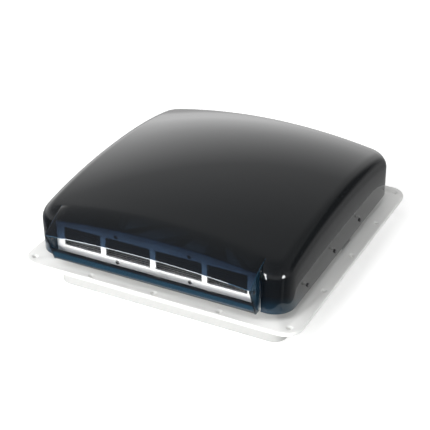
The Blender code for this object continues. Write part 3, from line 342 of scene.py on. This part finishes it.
# ------------------------------------------------------------------ foam seal on the curb
# A strip of closed-cell foam rubber with a slightly open skin, stuck on the curb's top edge. The lid's
# web shuts on it and keeps the rain out.
foam_rubber = moulded_plastic("foam_rubber", (0.022, 0.022, 0.023), (0.012, 0.012, 0.012), 0.82, 900.0,
                              0.0002)
finished("lid_seal", "base", foam_rubber, 0.0006)

# ------------------------------------------------------------------ black mouldings
# Hub nut, cable gland, bushes and crank knob, in glass-filled nylon with a slightly open surface. The
# flanged bushes sit in the curb's wall, and the gland in the deck.
black_nylon = moulded_plastic("black_nylon", (0.030, 0.030, 0.032), (0.018, 0.018, 0.019), 0.48, 1900.0)
finished("hub_nut", "fan", black_nylon, 0.0003)
finished("cable_gland", "base", black_nylon, 0.0004)
finished("crank_knob", "crank", black_nylon, 0.0008, 3)
for side in ("left", "right"):
    finished(f"shaft_bearing_{side}", "base", black_nylon, 0.0002)

# ------------------------------------------------------------------ keys and circuit board
# Four rubber-tipped keys stand in the control housing, over a green coated board that is held inside
# it. Each key is sprung and slides straight in.
key_grey = moulded_plastic("key_grey", (0.33, 0.34, 0.36), (0.27, 0.28, 0.30), 0.55, 2200.0)
board_green = moulded_plastic("board_green", (0.030, 0.17, 0.075), (0.022, 0.12, 0.055), 0.35, 1400.0)
for key in ("power", "direction", "slower", "faster"):
    finished(f"button_{key}", f"button_{key}", key_grey, 0.0005, 3)
finished("control_board", "base", board_green, 0.0001)


# ------------------------------------------------------------------ metal parts
# Zinc-plated pressed arms and brackets, a drawn steel shaft with its pins and worm, a deep-drawn motor
# case, and a wheel machined from brass.
def drawn_metal(name, light, dark, roughness, lengthways):
    """Metal with fine draw lines along one axis, clouded plating, and small rubbed spots."""
    metal = Finish(bpy.data.materials.new(name))
    spot = metal.node("ShaderNodeTexCoord", {}, {}, "Object")
    lined = metal.node("ShaderNodeMapping", {}, {"Vector": spot, "Scale": lengthways})
    lines = metal.node("ShaderNodeTexNoise", {}, {"Vector": lined, "Scale": 420.0, "Detail": 5.0})
    cloud = metal.node("ShaderNodeTexNoise", {}, {"Vector": spot, "Scale": 60.0, "Detail": 4.0})
    spangle = metal.node("ShaderNodeTexVoronoi", {}, {"Vector": spot, "Scale": 240.0}, "Color")
    share = lines * 0.45 + cloud * 0.35 + coordinate(metal, spangle, "X") * 0.20
    colour = mixed(metal, share, light, dark)
    shader = metal.tree.nodes["Principled BSDF"]
    metal.feed(shader.inputs["Metallic"], 1.0)
    metal.feed(shader.inputs["Base Color"], colour)
    metal.feed(shader.inputs["Roughness"], roughness + (lines - 0.5) * 0.16 + (cloud - 0.5) * 0.08)
    bump = metal.node("ShaderNodeBump", {}, {"Height": lines, "Strength": 0.25, "Distance": 0.00002})
    metal.feed(shader.inputs["Normal"], bump)
    return metal.owner


plated_steel = drawn_metal("plated_steel", (0.66, 0.67, 0.69), (0.50, 0.51, 0.54), 0.36, (9.0, 1.0, 9.0))
bright_steel = drawn_metal("bright_steel", (0.70, 0.70, 0.70), (0.55, 0.55, 0.56), 0.26, (0.6, 9.0, 9.0))
motor_steel = drawn_metal("motor_steel", (0.58, 0.58, 0.58), (0.46, 0.46, 0.47), 0.34, (4.0, 4.0, 9.0))
cut_brass = drawn_metal("cut_brass", (0.78, 0.58, 0.27), (0.62, 0.44, 0.19), 0.30, (9.0, 2.0, 2.0))

finished("cross_shaft", "front_arms", bright_steel, 0.0004)
finished("worm_wheel", "front_arms", cut_brass, 0.0001)
finished("worm", "crank", bright_steel, 0.00012)
finished("worm_housing", "base", plated_steel, 0.0003)
finished("motor_case", "base", motor_steel, 0.0008, 3)
finished("motor_shaft", "fan", bright_steel, 0.0003)
for side in ("left", "right"):
    finished(f"front_arm_{side}", "front_arms", plated_steel, 0.0005)
    finished(f"rear_arm_{side}", f"rear_arm_{side}", plated_steel, 0.0005)
    finished(f"rear_bracket_{side}", "base", plated_steel, 0.0004)
    finished(f"rear_pin_{side}", "base", bright_steel, 0.0003)
    finished(f"lid_pin_front_{side}", "lid", bright_steel, 0.0003)
    finished(f"lid_pin_rear_{side}", "lid", bright_steel, 0.0003)

# ------------------------------------------------------------------ insect screens
# Coated glass-fibre threads, fused where they cross: a round screen in the screen ring, and a long one
# behind the grille's four windows, whose lengthways threads are thicker and further apart.
THREAD = 0.00042
THREAD_PITCH = 0.0019
WEFT = 0.00070
WEFT_PITCH = 0.0030
THREAD_ROUND = 0.28
DISC_SIDE = 0.99

thread_black = moulded_plastic("thread_black", (0.022, 0.022, 0.023), (0.013, 0.013, 0.014), 0.85, 3200.0)


def thread_rows(name, low, high, along, across, flat, level, thread=THREAD, pitch=THREAD_PITCH):
    """One set of parallel threads that fills a rectangle; along is their axis, across the next row's."""
    rows = int((high[across] - low[across]) / pitch)
    centre = (Vector(low) + Vector(high)) / 2
    centre[flat] = level
    centre[across] = low[across] + (high[across] - low[across] - rows * pitch) / 2
    size = Vector((thread, thread, thread))
    size[along] = high[along] - low[along]
    bpy.ops.object.select_all(action="DESELECT")
    bpy.ops.mesh.primitive_cube_add(size=1, location=centre, scale=size)
    threads = bpy.context.object
    threads.name = name
    bpy.ops.object.transform_apply(location=True, rotation=True, scale=True)
    bpy.ops.object.mode_set(mode="EDIT")
    bpy.ops.mesh.bevel(offset=thread * THREAD_ROUND, segments=1, affect="EDGES")
    bpy.ops.object.mode_set(mode="OBJECT")
    repeat = threads.modifiers.new("rows", "ARRAY")
    repeat.count = rows + 1
    repeat.use_relative_offset = False
    repeat.use_constant_offset = True
    step = Vector((0, 0, 0))
    step[across] = pitch
    repeat.constant_offset_displace = step
    bpy.ops.object.modifier_apply(modifier=repeat.name)
    return threads


def woven_screen(name, low, high, flat, level, weft=THREAD, weft_pitch=THREAD_PITCH):
    """Both sets of threads, half a thread apart as if fused where they cross, joined in one piece."""
    first, second = [axis for axis in (0, 1, 2) if axis != flat]
    rows = thread_rows(name, low, high, first, second, flat, level, weft, weft_pitch)
    columns = thread_rows(name + "_columns", low, high, second, first, flat, level + THREAD * 0.5)
    select_only(rows)
    columns.select_set(True)
    bpy.ops.object.join()
    rows.data.materials.append(thread_black)
    return rows


disc_low, disc_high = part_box("screen_mesh")
disc_centre = (disc_low + disc_high) / 2
disc_radius = (disc_high.x - disc_low.x) / 2
round_screen = woven_screen("round_screen", disc_low, disc_high, 2, disc_centre.z)
for vert in round_screen.data.vertices:
    across, along = vert.co.x - disc_centre.x, vert.co.y - disc_centre.y
    ends_along_x = abs(across) > disc_radius * DISC_SIDE
    if ends_along_x or math.hypot(across, along) > disc_radius:
        reach = math.sqrt(max(disc_radius ** 2 - (along if ends_along_x else across) ** 2, 0.0))
        if ends_along_x:
            vert.co.x = disc_centre.x + math.copysign(reach, across)
        else:
            vert.co.y = disc_centre.y + math.copysign(reach, along)
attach(round_screen, "base")
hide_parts("screen_mesh")

long_low, long_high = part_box("grille_screen")
long_middle = (long_low.y + long_high.y) / 2
window_screen = woven_screen("window_screen", long_low, long_high, 1, long_middle, WEFT, WEFT_PITCH)
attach(window_screen, "lid")
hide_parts("grille_screen")

# ------------------------------------------------------------------ lid frame and grille
# The white ring inside the dome's rim carries the lid's pivots. The grille is a thin white wall with
# four windows, screwed to two posts that stand on that ring behind its window bars.
finished("lid_frame", "lid", white_plastic, 0.0004)
# The grille is painted whiter than the other white mouldings: painted light, lifting its wall in the hood's
# shade.
grille_plastic = moulded_plastic("grille_plastic", (0.90, 0.90, 0.895), (0.86, 0.86, 0.855), 0.42)
finished("vent_grille", "lid", grille_plastic, 0.0005)

# ------------------------------------------------------------------ smoked dome
# One vacuum-formed sheet of smoked polycarbonate: a crowned top with round brows that runs out over
# the mouth as a hood. Its skin is polished and very slightly wavy. Its cut edges are painted a bright
# blue, a painted glow, and the middle of the hood's lip is painted pale, a painted highlight.
SHEET = 0.0025
DOME_HALF = 0.1877
CENTRE_Y = (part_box("base_flange")[0].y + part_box("base_flange")[1].y) / 2
DOME_FRONT = CENTRE_Y - 0.1930
DOME_BACK = CENTRE_Y + 0.1837
DOME_CORNER = 0.029
DOME_BOTTOM = 0.059
APEX = 0.1582
APEX_Y = CENTRE_Y - 0.0106
CROWN_LENGTH = 0.190
CROWN_DROP_X, CROWN_DROP_Y, CROWN_DROP_Y4 = 0.0208, 0.0159, 0.0050
BROW = 0.0185
MOUTH_HALF = 0.1514
HOOD_EDGE_Y = CENTRE_Y - 0.2210
HOOD_EDGE_MIDDLE, HOOD_EDGE_DROP, HOOD_BULGE = 0.1145, 0.0070, 0.0025
SLIT = 0.0006
BROW_STEPS, CORNER_STEPS, HOOD_STEPS, CROWN_STEPS = 12, 4, 10, 26
CUT_ROUND, CUT_ANGLE = 0.0004, 60
PAINTED_HIGHLIGHT_HALF = 0.84 * MOUTH_HALF

POLYCARBONATE_IOR = 1.62
WAVE = 0.00012
RIPPLE_SHARE, STREAK_SHARE = 0.002, 0.10
# The places, in metres, between which the sheet's finish changes.
STREAKS_BETWEEN = (0.118, 0.100)
HOOD_THINS_BETWEEN = (DOME_FRONT + 0.030, DOME_FRONT - 0.012)
CORNER_BETWEEN = (DOME_FRONT + 0.060, DOME_FRONT + 0.020)
RIM_CLEARS_BETWEEN = (0.078, 0.060)
RIM_CLEARS_BY = 0.16
PAINTED_RIM_LIGHT_BETWEEN = (0.084, 0.062)


def painted_rim_light(sheet, spot):
    """The lowest strip of the two front corners is painted bluer: painted light, for the light from the
    flange that gathers there.
    """
    low = faded(sheet, coordinate(sheet, spot, "Z"), *PAINTED_RIM_LIGHT_BETWEEN)
    return low * faded(sheet, coordinate(sheet, spot, "Y"), *CORNER_BETWEEN)


def smoked_sheet(name, seen_through, body, edge_body, edge_share, solid, solid_hood, thin_beyond=None,
                 thin_by=0.0):
    """Smoked sheet: part clear and tinted, part dark and polished, and shinier the more edge-on it is.
    Forming has drawn the hood thinner than the crown, and thin_beyond a distance from the middle plane
    the sheet is thinner still."""
    sheet = Finish(bpy.data.materials.new(name))
    spot = sheet.node("ShaderNodeTexCoord", {}, {}, "Object")
    across, along, tall = (coordinate(sheet, spot, axis) for axis in "XYZ")

    wiped = sheet.node("ShaderNodeTexNoise", {}, {"Vector": spot, "Scale": 34.0, "Detail": 5.0})
    colour = mixed(sheet, wiped, body, [tone * 1.25 for tone in body])
    colour = mixed(sheet, edge_share(sheet, spot), colour, edge_body)
    lined = sheet.node("ShaderNodeMapping", {}, {"Vector": spot, "Rotation": (0.0, 0.0, 0.6),
                                                 "Scale": (1.0, 26.0, 1.0)})
    hairlines = sheet.node("ShaderNodeTexNoise", {}, {"Vector": lined, "Scale": 300.0, "Detail": 3.0})
    shader = sheet.tree.nodes["Principled BSDF"]
    sheet.feed(shader.inputs["Base Color"], colour)
    sheet.feed(shader.inputs["IOR"], POLYCARBONATE_IOR)
    sheet.feed(shader.inputs["Roughness"], 0.035 + (hairlines - 0.5) * 0.03 + (wiped - 0.5) * 0.02)

    swell = sheet.node("ShaderNodeTexNoise", {}, {"Vector": spot, "Scale": 16.0, "Detail": 1.0})
    ripple = sheet.node("ShaderNodeTexNoise", {}, {"Vector": spot, "Scale": 420.0, "Detail": 2.0})
    upright = sheet.node("ShaderNodeMapping", {}, {"Vector": spot, "Scale": (1.0, 1.0, 0.02)})
    streaks = sheet.node("ShaderNodeTexNoise", {}, {"Vector": upright, "Scale": 260.0, "Detail": 3.0})
    on_wall = sheet.node("ShaderNodeMapRange", {}, {"Value": tall, "From Min": STREAKS_BETWEEN[0],
                                                    "From Max": STREAKS_BETWEEN[1]})
    skin = swell + ripple * RIPPLE_SHARE + streaks * on_wall * STREAK_SHARE
    bump = sheet.node("ShaderNodeBump", {}, {"Height": skin, "Strength": 0.5, "Distance": WAVE})
    sheet.feed(shader.inputs["Normal"], bump)

    near_rim = sheet.node("ShaderNodeMapRange", {}, {"Value": tall, "From Min": RIM_CLEARS_BETWEEN[0],
                                                     "From Max": RIM_CLEARS_BETWEEN[1]})
    near_mouth = faded(sheet, along, *CORNER_BETWEEN)
    drawn = faded(sheet, along, *HOOD_THINS_BETWEEN)
    tint = solid + drawn * (solid_hood - solid) - near_rim * near_mouth * RIM_CLEARS_BY
    if thin_beyond:
        tint = tint - (across.maths("ABSOLUTE", across) > thin_beyond) * thin_by
    facing = sheet.node("ShaderNodeLayerWeight", {}, {"Blend": 0.5}, "Facing")
    clear = sheet.tree.nodes.new("ShaderNodeBsdfTransparent")
    sheet.feed(clear.inputs["Color"], (*seen_through, 1))
    blend = sheet.tree.nodes.new("ShaderNodeMixShader")
    sheet.feed(blend.inputs[0], tint + (1 - tint) * facing ** 5)
    sheet.tree.links.new(clear.outputs[0], blend.inputs[1])
    sheet.tree.links.new(shader.outputs[0], blend.inputs[2])
    sheet.tree.links.new(blend.outputs[0], sheet.tree.nodes["Material Output"].inputs["Surface"])
    return sheet.owner


smoke = smoked_sheet("smoke", (0.42, 0.57, 0.76), (0.006, 0.007, 0.008), (0.010, 0.030, 0.046), painted_rim_light,
                     solid=0.98, solid_hood=0.60)
# The cut edges are painted bright blue: a painted glow of light carried along the sheet.
cut_edge_painted_glow = moulded_plastic("cut_edge_painted_glow", (0.045, 0.110, 0.175), (0.030, 0.085, 0.145), 0.22, 1200.0)
# A pale finish for the middle of the hood's lip: a painted highlight.
lip_painted_highlight = moulded_plastic("lip_painted_highlight", (0.66, 0.71, 0.76), (0.50, 0.56, 0.62), 0.22, 1200.0)


def crown(x, y):
    """The height of the crowned top, which falls away to the sides, the front and the back."""
    across = (x / DOME_HALF) ** 2
    along = ((y - APEX_Y) / CROWN_LENGTH) ** 2
    return APEX - CROWN_DROP_X * across - CROWN_DROP_Y * along - CROWN_DROP_Y4 * along ** 2


def hood(x, s):
    """A point of the hood: s runs from 0 at the crown to 1 at the front edge."""
    start = DOME_FRONT + BROW
    edge = HOOD_EDGE_MIDDLE - HOOD_EDGE_DROP * (x / MOUTH_HALF) ** 2
    height = (1 - s) * crown(x, start) + s * edge + 4 * s * (1 - s) * HOOD_BULGE
    return Vector((x, start + (HOOD_EDGE_Y - start) * s, height))


def dome_lines(low, high, between):
    """Lines across the dome: close together over each round brow, and evenly spread between."""
    turns = [math.pi / 2 * step / BROW_STEPS for step in range(BROW_STEPS)]
    brow = [BROW * (1 - math.cos(turn)) for turn in turns]
    corner = [BROW + (DOME_CORNER - BROW) * step / CORNER_STEPS for step in range(CORNER_STEPS + 1)]
    middle = sorted(between + [low + inset for inset in corner] + [high - inset for inset in corner])
    return [low + inset for inset in brow] + middle + [high - inset for inset in reversed(brow)]


def into_corner(x, y):
    """Moves a point of the square plan into the plan's round corner."""
    middle = (DOME_FRONT + DOME_BACK) / 2
    half_y = (DOME_BACK - DOME_FRONT) / 2
    dx = abs(x) - (DOME_HALF - DOME_CORNER)
    dy = abs(y - middle) - (half_y - DOME_CORNER)
    if dx <= 0 or dy <= 0:
        return x, y
    scale = max(dx, dy) / math.hypot(dx, dy)
    return (math.copysign(DOME_HALF - DOME_CORNER + dx * scale, x),
            middle + math.copysign(half_y - DOME_CORNER + dy * scale, y - middle))


def brow_drop(inset):
    """How far the round brow has fallen at a distance inwards from the dome's outline."""
    return BROW - math.sqrt(max(0.0, BROW ** 2 - (BROW - min(inset, BROW)) ** 2))


over_mouth = [MOUTH_HALF * step / HOOD_STEPS for step in range(-HOOD_STEPS, HOOD_STEPS + 1)]
spread = DOME_BACK - DOME_FRONT - 2 * DOME_CORNER
over_crown = [DOME_FRONT + DOME_CORNER + spread * step / CROWN_STEPS for step in range(1, CROWN_STEPS)]
xs = dome_lines(-DOME_HALF, DOME_HALF, over_mouth)
ys = dome_lines(DOME_FRONT, DOME_BACK, over_crown)
left_line, right_line = (min(range(len(xs)), key=lambda line: abs(xs[line] - side))
                         for side in (-MOUTH_HALF, MOUTH_HALF))

bpy.ops.object.select_all(action="DESELECT")
bpy.ops.mesh.primitive_grid_add(x_subdivisions=len(xs) - 1, y_subdivisions=len(ys) - 1, size=2,
                                location=(0, 0, 0))
dome = bpy.context.object
dome.name = "smoked_dome"


def grid_place(point):
    """The column and row of a point of the flat grid."""
    return round((point.x + 1) / 2 * (len(xs) - 1)), round((point.y + 1) / 2 * (len(ys) - 1))


def on_hood(place):
    return place[1] <= BROW_STEPS and left_line <= place[0] <= right_line


bpy.ops.object.mode_set(mode="EDIT")
bpy.ops.mesh.select_mode(type="EDGE")
bpy.ops.mesh.select_all(action="DESELECT")
bpy.ops.object.mode_set(mode="OBJECT")
for edge in dome.data.edges:
    near, far = (grid_place(dome.data.vertices[end].co) for end in edge.vertices)
    edge.select = near[0] == far[0] and near[0] in (left_line, right_line) and on_hood(near) and on_hood(far)
bpy.ops.object.mode_set(mode="EDIT")
bpy.ops.mesh.edge_split(type="EDGE")
bpy.ops.object.mode_set(mode="OBJECT")

places = [grid_place(vert.co) for vert in dome.data.vertices]
hood_faces = [face for face in dome.data.polygons if all(on_hood(places[corner]) for corner in face.vertices)]
hood_points = {corner for face in hood_faces for corner in face.vertices}
rim_points = set()
for vert in dome.data.vertices:
    column, row = places[vert.index]
    x, y = xs[column], ys[row]
    if vert.index in hood_points and row < BROW_STEPS:
        s = 1 - row / BROW_STEPS
        side = x - math.copysign(SLIT * s, x) if column in (left_line, right_line) else x
        vert.co = hood(side, s)
        continue
    if row < BROW_STEPS and column in (left_line, right_line):
        x += math.copysign(SLIT * (1 - row / BROW_STEPS), x)
    px, py = into_corner(x, y)
    inset = min(DOME_HALF - abs(x), y - DOME_FRONT, DOME_BACK - y)
    vert.co = (px, py, crown(px, py) - brow_drop(inset))
    if column in (0, len(xs) - 1) or row in (0, len(ys) - 1):
        rim_points.add(vert.index)

faces_on = {}
for face in dome.data.polygons:
    for key in face.edge_keys:
        faces_on[key] = faces_on.get(key, 0) + 1
for edge in dome.data.edges:
    edge.select = faces_on[edge.key] == 1 and all(end in rim_points for end in edge.vertices)
bpy.ops.object.mode_set(mode="EDIT")
bpy.ops.mesh.extrude_region_move()
bpy.ops.object.mode_set(mode="OBJECT")
for vert in dome.data.vertices:
    if vert.select:
        vert.co.z = DOME_BOTTOM
bpy.ops.object.mode_set(mode="EDIT")
bpy.ops.mesh.select_all(action="SELECT")
bpy.ops.mesh.remove_doubles(threshold=WELD / 10)
bpy.ops.mesh.normals_make_consistent(inside=False)
bpy.ops.object.mode_set(mode="OBJECT")
if max(dome.data.polygons, key=lambda face: face.center.z).normal.z < 0:
    bpy.ops.object.mode_set(mode="EDIT")
    bpy.ops.mesh.flip_normals()
    bpy.ops.object.mode_set(mode="OBJECT")
dome.data.materials.append(smoke)
dome.data.materials.append(cut_edge_painted_glow)
wall = dome.modifiers.new("wall", "SOLIDIFY")
wall.thickness = SHEET
wall.offset = -1
wall.use_even_offset = True
wall.material_offset_rim = 1
bpy.ops.object.modifier_apply(modifier=wall.name)
dome.data.materials.append(lip_painted_highlight)
# The middle of the hood's lip takes the pale finish: a painted highlight.
for face in dome.data.polygons:
    on_lip = face.material_index == 1 and face.center.y < HOOD_EDGE_Y + SHEET
    if on_lip and abs(face.center.x) < PAINTED_HIGHLIGHT_HALF:
        face.material_index = 2
rounded(dome, CUT_ROUND, 2, CUT_ANGLE)
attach(dome, "lid")
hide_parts("lid_dome")

# ------------------------------------------------------------------ cheeks and sill of the mouth
# A second smoked moulding closes the mouth's two ends and its lower edge. Light gathers in its thin
# edges, so its colour is painted bluer than the dome: painted light.
SILL_TOP, SILL_LOW = 0.0815, 0.062
CHEEK_INSIDE = MOUTH_HALF - SHEET - 0.0002
CHEEK_FOOT_Y = CENTRE_Y - 0.2045
CHEEK_LEAN = 0.37
CHEEK_BORDER, CHEEK_FOOT_BORDER = 0.0020, 0.0025
SILL_BORDER, SILL_LOW_BORDER = 0.0050, 0.0030


def edge_tone(sheet, spot):
    """Near-black borders: along the sill's two edges, and along the cheeks' sloping front edge."""
    across, along, tall = (coordinate(sheet, spot, axis) for axis in "XYZ")
    on_cheek = across.maths("ABSOLUTE", across) > CHEEK_INSIDE
    off_edge = along - CHEEK_FOOT_Y + (tall - SILL_LOW) * CHEEK_LEAN
    sloping = off_edge < CHEEK_BORDER
    cheek_edge = sloping.maths("MAXIMUM", sloping, tall < SILL_LOW + CHEEK_FOOT_BORDER)
    sill_edge = (tall > SILL_TOP - SILL_BORDER) + (tall < SILL_LOW + SILL_LOW_BORDER)
    return on_cheek * cheek_edge + (1 - on_cheek) * sill_edge


# The blue body colour is painted light, gathered in the thin sheet.
mouth_smoke = smoked_sheet("mouth_smoke", (0.50, 0.60, 0.68), (0.010, 0.030, 0.050), (0.008, 0.009, 0.011),
                           edge_tone, solid=0.95, solid_hood=0.95, thin_beyond=CHEEK_INSIDE, thin_by=0.32)
finished("mouth_frame", "lid", mouth_smoke, 0.0005)

# ------------------------------------------------------------------ screws and pins of the lid
# Small steel pan-head screws hold the grille, and smoke-grey nylon ones hold the dome's rim. Black
# nylon pins with domed heads hold the cheeks.
smoked_nylon = moulded_plastic("smoked_nylon", (0.062, 0.062, 0.064), (0.046, 0.046, 0.048), 0.40, 1900.0)
for number in range(1, 5):
    finished(f"grille_screw_{number}", "lid", bright_steel, 0.0002)
for side in ("left", "right"):
    finished(f"cheek_pin_{side}", "lid", black_nylon, 0.0003)
    for number in range(1, 4):
        finished(f"dome_screw_{side}_{number}", "lid", smoked_nylon, 0.0002)
